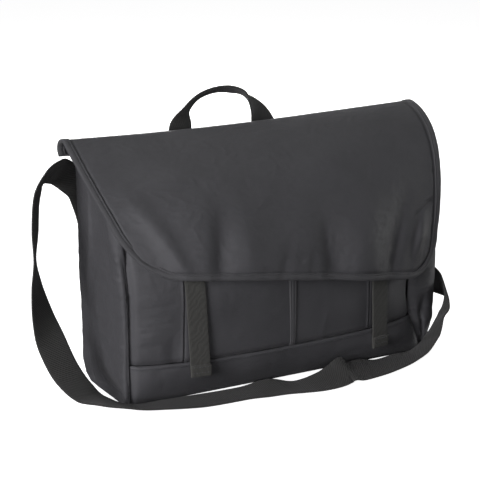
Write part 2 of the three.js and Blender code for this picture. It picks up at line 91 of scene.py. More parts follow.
# Sizes of the look alone, in millimetres
FLAP_RIGHT_CORNER = 47
FLAP_LENGTH = 290
GUSSET_DEPTH = 115
GUSSET_RISE = 9
POCKET_LEFT = -202
POCKET_WIDTH = 390
POCKET_RISE = 25
SEAM_LEFT = -141.2
SEAM_LEFT_SLANT = 0.028
SEAM_RIGHT = 112.2
TAIL_BEND = 1.05
TAIL_CLEAR = 0.8
THREAD_LIFT = 0.15

# Each tail's place across, lower end, swing away from the bag and drift to the right
TAILS = {"left": (-128.5, 35, 5, 4), "right": (127, 27, 5, 1)}


def table(names, rows):
    """Columns of numbers by name. The first column is the key."""
    columns = np.array(rows, float).T
    return {"key": columns[0], **dict(zip(names.split(), columns))}


# The body's outline at heights from the floor
SECTIONS = table("z frontY leftX rightX swell backY backX leftSwell rightSwell", [
    (0, -54, 202, 209, 0, 50, 211, 6, 8),
    (10, -57, 203, 206, 9, 56, 214, 7.5, 20),
    (30, -58, 203, 198, 20, 58, 216, 8, 37),
    (52, -57, 203, 190, 25, 59, 216, 7, 46),
    (100, -56, 202, 188, 27, 59, 216, 7, 49),
    (150, -54, 202, 191, 26, 59, 216, 8, 44),
    (200, -42, 204, 198, 19, 59, 216, 8, 34),
    (245, -16, 205, 204, 12, 59, 216, 8, 22),
    (290, 10, 206, 206, 8, 59, 216, 8, 14),
])

# Lines down the flap from its back seam over the fold to the hem, by their share across it
RIBS = table("share seamZ foldX foldY foldZ hemX hemY hemZ crest dip hang lean bow", [
    (0, 285, -238, 46, 307, -190, -66, 163, 49, 42, 55, 24, 8),
    (0.25, 276, -120, 48, 304, -105, -91, 156, 62, 26, 70, 12, 0),
    (0.5, 276, 0, 48, 304, 0, -94, 142, 72, 20, 76, 6, 0),
    (0.75, 276, 122, 48, 307, 112, -92, 124, 86, 14, 92, 2, 0),
    (1, 282, 247, 46, 311, 212, -66, 104, 98, 10, 116, -4, 0),
])

# Routes of the webbing: a place and the direction across the webbing there.
# The handle's top is turned a little further than in the frame
HANDLE = [
    (-80, 66, 262, 1, 0, 0),
    (-79, 70.3, 284, 1, 0, -0.1),
    (-76, 72, 303, 1, 0.1, -0.35),
    (-67, 72, 324, 0.5, 0.8, -0.45),
    (-49, 72, 339, 0.3, 0.9, -0.45),
    (-20, 72, 345, 0.1, 1, -0.45),
    (5, 72, 339, 0.15, 0.97, -0.35),
    (23, 72, 323, 0.5, 0.8, 0.3),
    (37, 72, 302, 1, 0.2, 0.4),
    (45, 70.3, 284, 1, 0, 0.1),
    (48, 66, 262, 1, 0, 0),
]
STRAP = [
    (-199, 62.8, 196, 0.92, 0, 0.4),
    (-204, 64.5, 219, 0.8, 0, 0.6),
    (-214, 67.5, 244, 0.45, 0.14, 0.88),
    (-236, 65, 263.3, 0.2, -0.4, 0.86),
    (-253, 49, 270.3, 0.05, -0.68, 0.72),
    (-267, 38, 266, -0.13, -0.79, 0.6),
    (-279.5, 30, 248, -0.4, -0.79, 0.43),
    (-288, 18, 210, -0.46, -0.83, 0.28),
    (-293, 8, 178, -0.35, -0.9, 0.15),
    (-294, 2, 146, -0.6, -0.8, 0.1),
    (-290, -4, 110, -0.85, -0.5, 0.05),
    (-282, -13, 75, -1, -0.1, 0),
    (-271, -28, 44, -1, -0.1, 0.05),
    (-256, -48, 24, -0.95, -0.25, 0.1),
    (-236, -64, 16, -0.75, -0.6, 0.25),
    (-206, -76, 9, -0.2, -0.95, 0.25),
    (-168, -80, 6, -0.15, -1, 0.12),
    (-120, -80, 2, -0.15, -1, 0),
    (-66, -83, 2, -0.1, -1, 0),
    (-30, -89, 5, 0, -1, -0.18),
    (3, -96, 2, 0, -1, 0),
    (38, -102, 6.5, 0, -0.95, -0.25),
    (55, -101, 10, 0.15, -0.87, -0.47),
    (68, -99, 13.5, 0.39, -0.71, -0.61),
    (82, -97, 8.5, 0.2, -0.9, -0.35),
    (98, -95, 7.5, 0, -0.93, -0.32),
    (125, -94, 6, 0, -0.99, -0.1),
    (157, -91, 9, 0.2, -0.96, 0.02),
    (182, -88, 12.8, 0.33, -0.87, 0.31),
    (203, -82, 23, 0.33, -0.74, 0.58),
    (212, -78, 31, -0.05, -0.9, 0.42),
    (224, -70.5, 42.5, -0.09, -0.8, 0.6),
    (234.5, -65.5, 50.5, -0.12, -0.84, 0.53),
    (242.5, -56, 61.5, 0, -0.3, 0.95),
    (256, -35, 74, -0.33, -0.03, 0.94),
    (262, 11, 77, 0.1, -0.2, 1),
    (266, 48, 104, 0.25, 0.2, 0.95),
    (252, 70, 136, 0.55, 0.15, 0.8),
    (226, 68, 174, 0.8, 0, 0.6),
    (204, 62.4, 208, 0.88, 0, 0.45),
]


def read(rows, name, place):
    """One column of a table at places along its key, on a smooth curve through the rows."""
    key, value = rows["key"], rows[name]
    last = len(key) - 1
    place = np.asarray(place, float)
    row = np.clip(np.searchsorted(key, place) - 1, 0, last - 1)
    index = np.arange(last + 1)
    before, after = np.maximum(index - 1, 0), np.minimum(index + 1, last)
    slope = (value[after] - value[before]) / (key[after] - key[before])
    span = key[row + 1] - key[row]
    t = np.clip((place - key[row]) / span, 0, 1)
    t2, t3 = t * t, t * t * t
    return ((2 * t3 - 3 * t2 + 1) * value[row] + (t3 - 2 * t2 + t) * span * slope[row]
            + (3 * t2 - 2 * t3) * value[row + 1] + (t3 - t2) * span * slope[row + 1])


def mix(a, b, t):
    return a + (b - a) * t


def smoothstep(x, low, high):
    t = np.clip((x - low) / (high - low), 0, 1)
    return t * t * (3 - 2 * t)


def unit(v):
    return v / np.maximum(np.linalg.norm(v, axis=-1, keepdims=True), 1e-9)


def stack(*parts):
    return np.stack(np.broadcast_arrays(*parts), -1)


def bell(distance, width):
    """1 at distance 0, falling smoothly to 0 past the width."""
    return np.exp(-(distance / width) ** 2)


LATTICE = 61


def uneven(x, y, seed):
    """Smooth noise from -1 to 1 over a plane, with one lump to each unit."""
    lattice = np.random.RandomState(seed).uniform(-1, 1, (LATTICE, LATTICE))
    x, y = np.broadcast_arrays(x, y)
    column, row = np.floor(x).astype(int), np.floor(y).astype(int)
    fx, fy = x - column, y - row
    fx, fy = fx * fx * (3 - 2 * fx), fy * fy * (3 - 2 * fy)
    at = lambda c, r: lattice[r % LATTICE, c % LATTICE]
    low = mix(at(column, row), at(column + 1, row), fx)
    high = mix(at(column, row + 1), at(column + 1, row + 1), fx)
    return mix(low, high, fy)


def crumple(x, y, size, seed):
    """Sharp-ridged unevenness of crushed cloth, from -1 to 1, with creases about a size apart."""
    bend = 0.6 * size
    wide_x, wide_y = x / size / 1.7, y / size / 1.7
    x = x + bend * uneven(wide_x, wide_y, seed + 1)
    y = y + bend * uneven(wide_x, wide_y, seed + 2)
    return 1 - 2 * np.abs(uneven(x / size, y / size, seed))


def spread(count, dense=(), reach=0.01, extra=6):
    """Shares from 0 to 1, even, with more of them close to some places."""
    shares = [np.linspace(0, 1, count + 1)]
    for place in dense:
        shares.append(np.linspace(place - reach, place + reach, extra))
    shares = np.unique(np.clip(np.concatenate(shares), 0, 1).round(5))
    keep = np.concatenate([[True], np.diff(shares) > 2e-4])
    return shares[keep]


# Surfaces of the frame
def front_point(u, z, lap=0.0, swell_share=1.0):
    left, right = -read(SECTIONS, "leftX", z) + SEAM_GAP, read(SECTIONS, "rightX", z) - SEAM_GAP
    swell = read(SECTIONS, "swell", z) * swell_share * (1 - np.abs(2 * u - 1) ** FRONT_POWER)
    return stack(mix(left, right, u), read(SECTIONS, "frontY", z) + lap - swell, z)


def pocket_face(x, z, clear):
    left, right = read(SECTIONS, "leftX", z), read(SECTIONS, "rightX", z)
    point = front_point((x + left) / (left + right), z)
    return stack(x, point[..., 1] - clear, z)


def back_point(u, z):
    t = 2 * u - 1
    x = t * (read(SECTIONS, "backX", z) - SEAM_GAP)
    return stack(x, read(SECTIONS, "backY", z) + BACK_SWELL * (1 - np.abs(t) ** FRONT_POWER), z)


def gusset_point(side, along, z):
    """along is -1 at the front seam and 1 at the back seam."""
    hand = "left" if side < 0 else "right"
    share = (1 + along) / 2
    out = (1 - np.abs(along) ** GUSSET_POWER) ** (1 / GUSSET_POWER)
    x = mix(read(SECTIONS, hand + "X", z), read(SECTIONS, "backX", z), share)
    x = x + read(SECTIONS, hand + "Swell", z) * out + SEAM_GAP
    return stack(side * x, mix(read(SECTIONS, "frontY", z), read(SECTIONS, "backY", z), share), z)


def gusset_top(along):
    return mix(GUSSET_FRONT_TOP, GUSSET_BACK_TOP, ((1 + along) / 2) ** GUSSET_TOP_POWER)


def bezier(points, t):
    a, b, c, d = points
    t = t[:, None, None]
    return a * (1 - t) ** 3 + 3 * b * t * (1 - t) ** 2 + 3 * c * t * t * (1 - t) + d * t ** 3


def by_length(curves, shares):
    """Points on curves, one to a column, at shares of each one's length."""
    steps = np.linalg.norm(np.diff(curves, axis=0), axis=-1)
    length = np.concatenate([np.zeros((1, curves.shape[1])), np.cumsum(steps, 0)])
    out = np.empty(shares.shape + (3,))
    for c in range(curves.shape[1]):
        for k in range(3):
            out[:, c, k] = np.interp(shares[:, c] * length[-1, c], length[:, c], curves[:, c, k])
    return out, length[-1]


def flap_grid(columns, back_rows, front_rows, corner_rows):
    """The flap's outer face, and each point's place down it: -1 at the seam, 0 at the fold, 1 at the hem."""
    get = lambda name: read(RIBS, name, columns)
    fold = stack(get("foldX"), get("foldY"), get("foldZ"))
    hem = stack(get("hemX"), get("hemY"), get("hemZ"))
    half = np.clip(0.5 + get("foldX") / (2 * read(SECTIONS, "backX", get("seamZ"))), 0, 1)
    seam_y = back_point(half, get("seamZ"))[..., 1] + SEAM_GAP + FLAP_WALL
    drift = (hem[:, 0] - fold[:, 0]) / 3
    t = np.linspace(0, 1, 241)
    back = bezier((stack(fold[:, 0], seam_y, get("seamZ")), stack(fold[:, 0], FLAP_BACK_Y, FLAP_BACK_Z),
                   stack(fold[:, 0], FLAP_BACK_Y, fold[:, 2]), fold), t)
    bow = get("bow")
    upper = stack(fold[:, 0] + drift - bow, fold[:, 1] - get("crest"), fold[:, 2] - get("dip"))
    lower = stack(hem[:, 0] - drift - bow, hem[:, 1] + get("lean"), hem[:, 2] + get("hang"))
    front = bezier((fold, upper, lower, hem), t)
    _, length = by_length(front, np.zeros((1, len(columns))))
    radius = np.where(columns < 0.5, FLAP_CORNER, FLAP_RIGHT_CORNER)
    reach = np.maximum(radius - np.minimum(columns, 1 - columns) * FLAP_WIDTH, 0)
    cut = radius - np.sqrt(np.maximum(radius ** 2 - reach ** 2, 0))
    zone, end = 1 - (FLAP_CORNER + FLAP_CORNER_LEAD) / length, 1 - cut / length
    rows = np.linspace(0, 1, back_rows + 1)[:, None] + 0 * columns
    rear, _ = by_length(back, rows)
    down = np.linspace(0, 1, front_rows + 1)[1:, None] ** 1.3 * zone
    corner = mix(zone, end, np.linspace(0, 1, corner_rows + 1)[1:, None])
    shares = np.concatenate([down, corner])
    face, _ = by_length(front, shares)
    return np.concatenate([rear, face]), np.concatenate([rows - 1, shares])


# Meshes
def normals(grid):
    """Directions square to a grid. Where its lines run together, those of the points beside."""
    cross = np.cross(unit(np.gradient(grid, axis=1)), unit(np.gradient(grid, axis=0)))
    weak = np.linalg.norm(cross, axis=-1, keepdims=True) < 0.45
    if weak.any():
        rows, cols = grid.shape[:2]
        wide = cross
        for _ in range(8):
            pad = np.pad(wide, ((1, 1), (1, 1), (0, 0)), "edge")
            wide = sum(pad[r:r + rows, c:c + cols] for r in range(3) for c in range(3)) / 9
        cross = np.where(weak, wide, cross)
    return unit(cross)


def lengths(grid):
    """Distance across and down a grid, for the weave."""
    across = np.linalg.norm(np.diff(grid, axis=1), axis=-1)
    down = np.linalg.norm(np.diff(grid, axis=0), axis=-1)
    u = np.concatenate([np.zeros((grid.shape[0], 1)), np.cumsum(across, 1)], 1)
    v = np.concatenate([np.zeros((1, grid.shape[1])), np.cumsum(down, 0)], 0)
    u = u - u[:, u.shape[1] // 2][:, None]
    return stack(u, v)


def make(name, points, faces, uvs, material, slot):
    """An object from points in millimetres, which rides on the bag."""
    corner = points - points.mean(0)
    quads = np.array([f for f in faces if len(f) == 4])
    a, b, c, d = [corner[quads[:, k]] for k in range(4)]
    volume = np.einsum("ij,ij->", a, np.cross(b, c) + np.cross(c, d))
    if volume < 0:
        faces = [f[::-1] for f in faces]
    mesh = bpy.data.meshes.new(name)
    mesh.from_pydata((points * MM).tolist(), [], faces)
    layer = mesh.uv_layers.new(name="weave")
    loops = np.empty(len(mesh.loops), int)
    mesh.loops.foreach_get("vertex_index", loops)
    layer.data.foreach_set("uv", (uvs * MM)[loops].ravel())
    mesh.polygons.foreach_set("use_smooth", [True] * len(mesh.polygons))
    mesh.materials.append(material)
    piece = bpy.data.objects.new(name, mesh)
    scene.collection.objects.link(piece)
    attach(piece, "root")
    return piece


def shell(name, outer, thick, material, slot, rim=3):
    """A cloth wall with rounded edges. Its other face lies thick away along the grid's normals."""
    rows, cols = outer.shape[:2]
    inner = outer + normals(outer) * thick
    ring = ([(0, c) for c in range(cols)] + [(r, cols - 1) for r in range(1, rows)]
            + [(rows - 1, c) for c in range(cols - 2, -1, -1)] + [(r, 0) for r in range(rows - 2, 0, -1)])
    r, c = np.array(ring).T
    inside = np.clip(r, 1, rows - 2), np.clip(c, 1, cols - 2)
    middle = (outer + inner) / 2
    edge = outer[r, c] - middle[r, c]
    away = middle[r, c] - middle[inside]
    face = unit(edge)
    away = unit(away - face * np.einsum("ij,ij->i", away, face)[:, None]) * abs(thick) / 2
    layers = []
    for k in range(1, rim + 1):
        angle = math.pi * k / (rim + 1)
        layers.append(middle[r, c] + edge * math.cos(angle) + away * math.sin(angle))
    points = np.concatenate([outer.reshape(-1, 3), inner.reshape(-1, 3), *layers])
    points[:, 2] = np.maximum(points[:, 2], 0)
    weave = lengths(outer)
    uvs = np.concatenate([weave.reshape(-1, 2)] * 2 + [weave[r, c]] * rim)
    flat = np.arange(rows * cols).reshape(rows, cols)
    quads = np.stack([flat[:-1, :-1], flat[:-1, 1:], flat[1:, 1:], flat[1:, :-1]], -1).reshape(-1, 4)
    faces = quads.tolist() + (quads[:, ::-1] + rows * cols).tolist()
    count = len(ring)
    first = r * cols + c
    turns = [2 * rows * cols + k * count + np.arange(count) for k in range(rim)]
    loops = [first, *turns, first + rows * cols]
    for a, b in zip(loops, loops[1:]):
        faces += np.stack([np.roll(a, -1), a, b, np.roll(b, -1)], -1).tolist()
    return make(name, points, faces, uvs, material, slot)


def sweep(name, origins, outs, ups, section, material, slot):
    """A closed section of (out, up) pairs carried along frames."""
    section = np.repeat(np.array(section, float)[None], len(origins), 0)
    count = section.shape[1]
    points = origins[:, None] + outs[:, None] * section[..., :1] + ups[:, None] * section[..., 1:]
    run = np.concatenate([[0], np.cumsum(np.linalg.norm(np.diff(origins, axis=0), axis=-1))])
    uvs = stack(section[..., 0], run[:, None]).reshape(-1, 2)
    base = np.arange(len(origins) * count).reshape(-1, count)
    turned = np.roll(base, -1, 1)
    faces = np.stack([base[:-1], turned[:-1], turned[1:], base[1:]], -1).reshape(-1, 4).tolist()
    faces += [base[0, ::-1].tolist(), base[-1].tolist()]
    return make(name, points.reshape(-1, 3), faces, uvs, material, slot)


def webbing_section(width, thick, across=10):
    """A flat webbing with rounded edges."""
    w, t = width / 2, thick / 2
    xs = np.linspace(-w + t, w - t, across + 1)
    turn = np.linspace(-90, 90, 5)[1:-1]
    right = [(w - t + t * math.cos(math.radians(a)), t * math.sin(math.radians(a))) for a in turn]
    left = [(-x, -y) for x, y in right]
    return [(x, -t) for x in xs] + right + [(x, t) for x in xs[::-1]] + left


def catmull(points, places):
    """A centripetal curve through points, at places from 0 to 1."""
    points = np.asarray(points, float)
    last = len(points) - 1
    ends = np.concatenate([[2 * points[0] - points[1]], points, [2 * points[-1] - points[-2]]])
    spot = np.clip(places, 0, 1) * last
    i = np.minimum(spot.astype(int), last - 1)
    t = (spot - i)[:, None]
    p0, p1, p2, p3 = ends[i], ends[i + 1], ends[i + 2], ends[i + 3]
    steps = ((p0, p1), (p1, p2), (p2, p3))
    d0, d1, d2 = [np.sqrt(np.linalg.norm(b - a, axis=1))[:, None] for a, b in steps]
    d1 = np.where(d1 < 1e-4, 1.0, d1)
    d0, d2 = np.where(d0 < 1e-4, d1, d0), np.where(d2 < 1e-4, d1, d2)
    m1 = ((p1 - p0) / d0 - (p2 - p0) / (d0 + d1) + (p2 - p1) / d1) * d1
    m2 = ((p2 - p1) / d1 - (p3 - p1) / (d1 + d2) + (p3 - p2) / d2) * d1
    return p1 + m1 * t + (-3 * p1 + 3 * p2 - 2 * m1 - m2) * t ** 2 + (2 * p1 - 2 * p2 + m1 + m2) * t ** 3


def webbing_frames(stations, count):
    """Points along a webbing's route, with the directions across it and out of its face."""
    stations = np.array(stations, float)
    places = np.linspace(0, 1, count + 1)
    origins = catmull(stations[:, :3], places)
    ahead = unit(catmull(stations[:, :3], places + 1e-4) - catmull(stations[:, :3], places - 1e-4))
    outs = catmull(stations[:, 3:], places)
    outs = unit(outs - ahead * np.einsum("ij,ij->i", outs, ahead)[:, None])
    return origins, outs, np.cross(ahead, outs)


def stitches(name, lines, material, pitch=3.4, length=2.5, radius=0.33):
    """Thread along lines, each of points and of the directions that face out of the cloth."""
    points, faces, sides = [], [], 5
    profile = ((-0.5, 0.35, -0.5), (-0.42, 0.8, -0.05), (0, 1, 0.3), (0.42, 0.8, -0.05), (0.5, 0.35, -0.5))
    for line, face in lines:
        line, face = np.asarray(line, float), np.asarray(face, float)
        run = np.concatenate([[0], np.cumsum(np.linalg.norm(np.diff(line, axis=0), axis=-1))])
        spots = np.arange(pitch / 2, run[-1] - pitch / 2, pitch)
        at = lambda values, s: np.stack([np.interp(s, run, values[:, k]) for k in range(3)], -1)
        middle, out = at(line, spots), unit(at(face, spots))
        ahead = unit(at(line, spots + 0.5) - at(line, spots - 0.5))
        side = unit(np.cross(ahead, out))
        for m, a, o, s in zip(middle, ahead, out, side):
            first = len(points)
            for along, size, lift in profile:
                for k in range(sides):
                    angle = 2 * math.pi * k / sides
                    points.append(m + a * along * length + o * (lift + size * math.sin(angle)) * radius
                                  + s * size * math.cos(angle) * radius)
            for ring in range(len(profile) - 1):
                for k in range(sides):
                    b = first + ring * sides
                    faces.append([b + k, b + (k + 1) % sides, b + sides + (k + 1) % sides, b + sides + k])
            faces.append([first + k for k in range(sides)][::-1])
            end = first + (len(profile) - 1) * sides
            faces.append([end + k for k in range(sides)])
    points = np.array(points)
    return make(name, points, faces, points[:, [0, 2]], material, "webbing")


# Materials
class Nodes:
    """Short calls for building one material's nodes."""

    def __init__(self, name):
        self.material = bpy.data.materials.new(name)
        self.material.use_nodes = True
        self.tree = self.material.node_tree
        self.shader = self.tree.nodes["Principled BSDF"]
        self.coords = self.tree.nodes.new("ShaderNodeTexCoord")

    def put(self, socket, value):
        if isinstance(value, bpy.types.NodeSocket):
            self.tree.links.new(value, socket)
        else:
            socket.default_value = value

    def math(self, operation, a, b=0.0):
        node = self.tree.nodes.new("ShaderNodeMath")
        node.operation = operation
        self.put(node.inputs[0], a)
        self.put(node.inputs[1], b)
        return node.outputs[0]

    def noise(self, scale, detail=2.0, rough=0.5):
        node = self.tree.nodes.new("ShaderNodeTexNoise")
        self.put(node.inputs["Vector"], self.coords.outputs["Object"])
        self.put(node.inputs["Scale"], scale)
        self.put(node.inputs["Detail"], detail)
        self.put(node.inputs["Roughness"], rough)
        return node.outputs["Fac"]

    def weave(self):
        """Distances across and down the weave in metres."""
        uv = self.tree.nodes.new("ShaderNodeUVMap")
        uv.uv_map = "weave"
        split = self.tree.nodes.new("ShaderNodeSeparateXYZ")
        self.put(split.inputs[0], uv.outputs[0])
        return split.outputs[0], split.outputs[1]

    def wave(self, across, down, pitch, shift=0.0):
        """A wave along a direction of the weave, from -1 to 1, with a pitch in metres."""
        turn = 2 * math.pi / pitch
        u, v = self.weave()
        angle = self.math("ADD", self.math("MULTIPLY", u, across * turn),
                          self.math("MULTIPLY", v, down * turn))
        return self.math("SINE", self.math("ADD", angle, shift))

    def span(self, value, low, high, to_low, to_high):
        node = self.tree.nodes.new("ShaderNodeMapRange")
        for socket, v in zip(node.inputs, (value, low, high, to_low, to_high)):
            self.put(socket, v)
        return node.outputs[0]

    def colour(self, factor, dark, light):
        node = self.tree.nodes.new("ShaderNodeMix")
        node.data_type = "RGBA"
        self.put(node.inputs[0], factor)
        self.put(node.inputs[6], (*dark, 1))
        self.put(node.inputs[7], (*light, 1))
        return node.outputs[2]

    def bump(self, height, distance, strength=1.0, under=None):
        node = self.tree.nodes.new("ShaderNodeBump")
        self.put(node.inputs["Height"], height)
        self.put(node.inputs["Distance"], distance)
        self.put(node.inputs["Strength"], strength)
        if under is not None:
            self.put(node.inputs["Normal"], under)
        return node.outputs[0]

    def finish(self, colour, roughness, normal, sheen=0.0, specular=0.4):
        self.put(self.shader.inputs["Base Color"], colour)
        self.put(self.shader.inputs["Roughness"], roughness)
        self.put(self.shader.inputs["Normal"], normal)
        self.shader.inputs["Specular IOR Level"].default_value = specular
        self.shader.inputs["Sheen Weight"].default_value = sheen
        self.shader.inputs["Sheen Roughness"].default_value = 0.45
        return self.material


def cloth_material(name, dark, light, pitch=0.0007):
    """Fine plain weave with a coat: small grain, faint clouds, soft gloss."""
    n = Nodes(name)
    weave = n.math("MULTIPLY", n.wave(1, 0, pitch), n.wave(0, 1, pitch))
    grain = n.noise(1100, 3, 0.65)
    cloud = n.noise(22, 3)
    tone = n.math("ADD", n.math("MULTIPLY", n.span(grain, 0.25, 0.75, 0, 1), 0.75),
                  n.math("MULTIPLY", n.span(cloud, 0.3, 0.7, 0, 1), 0.25))
    normal = n.bump(weave, 0.00008, 0.5)
    normal = n.bump(grain, 0.0004, 0.5, normal)
    return n.finish(n.colour(tone, dark, light), n.span(grain, 0.2, 0.8, 0.5, 0.68), normal, 0.08, 0.45)


def webbing_material(name, dark, light, pitch=0.0024, wobble=0.0, relief=0.0003, edge=1.0):
    """Twill: slanting ridges with ribs across them, paler beyond an edge from the middle."""
    n = Nodes(name)
    twill = n.wave(0.75, 0.66, pitch, n.math("MULTIPLY", n.noise(90, 2), wobble))
    rib = n.wave(0, 1, 0.0009)
    grain = n.noise(1500, 3, 0.7)
    height = n.math("ADD", twill, n.math("MULTIPLY", rib, 0.35))
    tone = n.math("ADD", n.span(twill, -1, 1, 0, 0.6), n.span(grain, 0.25, 0.75, 0, 0.4))
    from_middle = n.math("ABSOLUTE", n.weave()[0])
    tone = n.math("ADD", tone, n.span(from_middle, edge, edge + 0.0006, 0, 1))
    normal = n.bump(height, relief, 0.7)
    normal = n.bump(grain, 0.0003, 0.4, normal)
    return n.finish(n.colour(tone, dark, light), 0.8, normal, 0.12, 0.3)


def tape_material(name, dark, light):
    """Flat tape with fine ribs across it."""
    n = Nodes(name)
    rib = n.wave(0, 1, 0.0011)
    grain = n.noise(1400, 3, 0.7)
    tone = n.math("ADD", n.span(rib, -1, 1, 0, 0.4), n.span(grain, 0.25, 0.75, 0, 0.6))
    normal = n.bump(rib, 0.00015, 0.6)
    normal = n.bump(grain, 0.0003, 0.4, normal)
    return n.finish(n.colour(tone, dark, light), 0.7, normal, 0.1, 0.35)


def thread_material(name, dark, light):
    n = Nodes(name)
    grain = n.noise(2500, 2)
    normal = n.bump(grain, 0.0002, 0.5)
    return n.finish(n.colour(grain, dark, light), 0.6, normal, 0.1, 0.4)


CLOTH = cloth_material("charcoal_cloth", (0.038, 0.038, 0.0405), (0.072, 0.072, 0.076))
TAPE = tape_material("charcoal_tape", (0.046, 0.046, 0.048), (0.078, 0.078, 0.081))
STRAP_WEB = webbing_material("olive_webbing", (0.026, 0.026, 0.0245), (0.054, 0.054, 0.0505))
TAIL_WEB = webbing_material("olive_tail_webbing", (0.042, 0.042, 0.038), (0.058, 0.058, 0.052),
                            pitch=0.0058, wobble=14.0, relief=0.00012, edge=0.0117)
THREAD = thread_material("charcoal_thread", (0.05, 0.05, 0.053), (0.09, 0.09, 0.095))


# Shoulder strap, first of the pieces
strap_frames = webbing_frames(STRAP, 400)
strap_section = webbing_section(STRAP_WIDTH, STRAP_THICK)
strap = sweep("strap_webbing", *strap_frames, strap_section, STRAP_WEB, "webbing")
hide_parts("shoulder_strap")
strap_route = strap_frames[0]
run = float(np.sum(np.linalg.norm(np.diff(strap_route, axis=0), axis=-1))) * MM


# Front pocket and the panel behind it
def edge_tuck(point, depth, width):
    """How far a panel draws in beside its two side seams."""
    left = point[..., 0] - point[..., :1, 0]
    right = point[..., -1:, 0] - point[..., 0]
    return depth * (bell(left, width) + bell(right, width))


def side_seams(z):
    """Places across the pocket of the seams beside the two tails."""
    return SEAM_LEFT + SEAM_LEFT_SLANT * (z - 100), SEAM_RIGHT + 0 * z


def pocket_push(x, z):
    """How far the pocket's cloth lies behind its smooth face."""
    band_seam = 2.2 * bell(z - BAND_TOP, 3.5)
    puff = 1.6 * bell(x + 178, 26) * bell(z - 112, 46)
    dent = 2.4 * bell(x + 153, 9) * bell(z - 64, 15)
    ripple = 0.7 * bell(x - 44 - 0.25 * (z - 66), 5) * smoothstep(110 - z, 0, 40)
    recede = 2.5 * smoothstep(x, 140, 186) * smoothstep(z, BAND_TOP, BAND_TOP + 30)
    lumps = uneven(x / 46, z / 40, 3) * smoothstep(z, 60, 90)
    creases = 0.35 * crumple(x, z, 20, 5) + 0.22 * crumple(x, z, 9, 8) + 0.1 * crumple(x, z, 4.5, 12)
    left = 0.35 + 0.65 * smoothstep(-x, 135, 150)
    push = band_seam - puff + dent - ripple + recede + lumps + left * creases
    for seam in side_seams(z):
        push = push + 0.9 * bell(x - seam - 1.2, 1.1) - 0.5 * bell(x - seam + 1.4, 1.5)
    return push


seam_shares = [(x - POCKET_LEFT) / POCKET_WIDTH for x in (SEAM_LEFT, SEAM_RIGHT)]
u = spread(170, [0, 1, *seam_shares], 0.018, 17)[None, :]
v = spread(84, [0, 1], 0.06, 9)[:, None]
left_corner = POCKET_RISE * bell(u * POCKET_WIDTH, 27)
z = mix(BAND_TOP + SEAM_GAP, POCKET_TOP + left_corner, v)
pocket = front_point(u, z)
pocket[..., 1] += pocket_push(pocket[..., 0], z) + edge_tuck(pocket, 5.5, 4.5)
front_pocket = shell("pocket_cloth", pocket, -WALL, CLOTH, "cloth")
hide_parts("front_pocket")

u = spread(90, [0, 1], 0.02, 7)[None, :]
top = FRONT_TOP - FRONT_TOP_DIP * np.abs(2 * u - 1) ** FRONT_TOP_POWER
z = mix(BAND_TOP + SEAM_GAP, top, np.linspace(0, 1, 51)[:, None])
panel = front_point(u, z, PANEL_LAP, mix(1, POCKET_SLACK, smoothstep(z, BAND_TOP, POCKET_TOP)))
panel[..., 1] += pocket_push(panel[..., 0], z) + edge_tuck(panel, 5.0, 5.0)
panel[..., 1] += 1.2 * bell(z - BAND_TOP, 5) + 1.6
front_panel = shell("front_panel_cloth", panel, -WALL, CLOTH, "cloth")
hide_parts("front_panel")

# Back panel
u = spread(80, [0, 1], 0.02, 7)[None, :]
z = spread(56, [0, 1], 0.03, 7)[:, None] * BACK_TOP
back = back_point(u, z)
calm = smoothstep(z, 8, 40) * smoothstep(BACK_TOP - z, 20, 60)
lumps = 1.6 * uneven(back[..., 0] / 70, z / 60, 11)
creases = 0.5 * crumple(back[..., 0], z, 24, 14)
back[..., 1] += (lumps + creases - 1.2) * calm - edge_tuck(back, 2.6, 4.5)
back_panel = shell("back_cloth", back, WALL, CLOTH, "cloth")
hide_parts("back_panel")


# Gussets
def gusset_columns():
    """Places from a gusset's front seam, -1, to its back seam, 1, closest together at the front."""
    turn = np.concatenate([np.linspace(0, 1, 61), np.linspace(0, 0.14, 61)])
    rounded = -np.sign(np.cos(np.pi * turn)) * np.abs(np.cos(np.pi * turn)) ** (2 / GUSSET_POWER)
    along = np.unique(np.concatenate([rounded, np.linspace(-1, 1, 101)]).round(4))
    return along[np.concatenate([[True], np.diff(along) > 2e-4])][None, :]


def left_gusset_lift(depth, z):
    """A rolled front edge, a ridge near the back, a foot that sinks in and two drawn-in seams."""
    roll = 1.8 * bell(depth - 9, 12)
    pucker = 0.45 * uneven(depth / 26, z / 4.6, 30) * bell(depth - 8, 10) * smoothstep(depth, 1, 5)
    ridge = 2.5 * bell(depth - 84 + 0.2 * (z - 124), 7)
    ridge = ridge * smoothstep(z, 90, 130) * smoothstep(BACK_TOP - z, 20, 90)
    turned = np.hypot(np.maximum(depth - 40, 0), np.maximum(75 - z, 0)) / 65
    rim = smoothstep(z, -1, 7) * smoothstep(GUSSET_DEPTH - depth, 0, 24)
    foot = (10 - 4 * smoothstep(depth, 45, 90)) * smoothstep(turned, 0.5, 1.15) * rim
    foot = foot * smoothstep(depth, 0, 25) * smoothstep(135 - z, 0, 70)
    seams = 5.0 * bell(depth, 2.6) * smoothstep(205 - z, 0, 40) + 1.8 * bell(GUSSET_DEPTH - depth, 3)
    return roll + pucker + ridge - foot - seams


def right_gusset_lift(depth, z, x):
    """A dart at the foot, a dent above it, a drawn-in front corner and two drawn-in seams."""
    dart = x - 208.5 - 0.11 * (32 - z)
    slit = np.where(dart < 0, 1.6, 3.2) + 0.05 * np.maximum(z - 30, 0)
    fold = 6.0 * bell(dart, slit) * smoothstep(66 - z, 0, 30)
    dent = 3.5 * bell(x - 211, 6) * bell(z - 60, 13)
    corner = 3.5 * bell(depth - 9, 9) * smoothstep(42 - z, 0, 14)
    seams = 5.0 * bell(x - x[:, :1], 3.2) + 1.8 * bell(GUSSET_DEPTH - depth, 3)
    return -fold - dent - corner - seams


